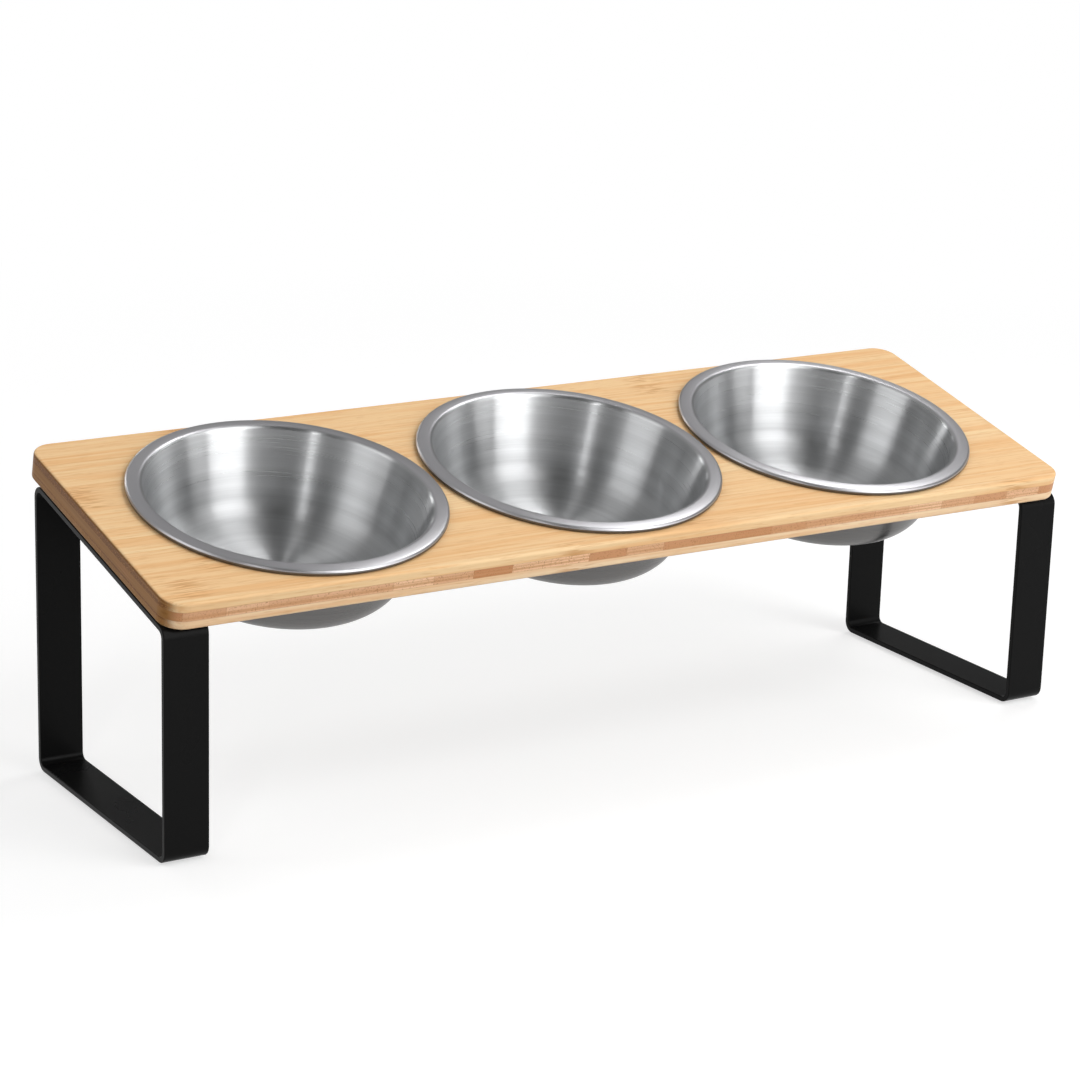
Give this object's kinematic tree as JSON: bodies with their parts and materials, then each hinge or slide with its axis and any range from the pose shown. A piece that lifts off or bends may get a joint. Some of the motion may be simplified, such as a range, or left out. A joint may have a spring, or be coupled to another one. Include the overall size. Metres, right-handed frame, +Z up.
{
  "type": "elevated cat feeder",
  "caption": "Tilted bamboo board on looped flat-bar legs that holds a row of lift-out steel bowls at a comfortable height for a cat.",
  "frame": {"origin": "on the floor, under the middle of the board's outline", "axes": "+X along the row of bowls, +Y towards the board's high edge, +Z up"},
  "size_m": [0.458, 0.143, 0.1465],
  "materials": {
    "bamboo_face": "satin clear lacquer",
    "bamboo_core": "satin clear lacquer",
    "brushed_bowl_steel": "brushed",
    "black_powder_coat": "matte powder coat",
    "screw_zinc": "zinc plated",
    "foot_rubber": "matte"
  },
  "bodies": {
    "stand": {"board_top_ply": "bamboo_face", "board_core_ply": "bamboo_core", "board_bottom_ply": "bamboo_face", "left_leg_frame": "black_powder_coat", "right_leg_frame": "black_powder_coat", "left_leg_screws": "screw_zinc", "right_leg_screws": "screw_zinc", "left_front_foot_pad": "foot_rubber", "left_back_foot_pad": "foot_rubber", "right_front_foot_pad": "foot_rubber", "right_back_foot_pad": "foot_rubber"},
    "left_bowl": {"left_bowl": "brushed_bowl_steel"},
    "middle_bowl": {"middle_bowl": "brushed_bowl_steel"},
    "right_bowl": {"right_bowl": "brushed_bowl_steel"}
  },
  "joints": [
    {"name": "left_bowl_lift", "type": "slide", "parent": "stand", "child": "left_bowl", "axis": [0, -0.225, 0.9744], "range_m": [0, 0.06]},
    {"name": "middle_bowl_lift", "type": "slide", "parent": "stand", "child": "middle_bowl", "axis": [0, -0.225, 0.9744], "range_m": [0, 0.06]},
    {"name": "right_bowl_lift", "type": "slide", "parent": "stand", "child": "right_bowl", "axis": [0, -0.225, 0.9744], "range_m": [0, 0.06]}
  ]
}
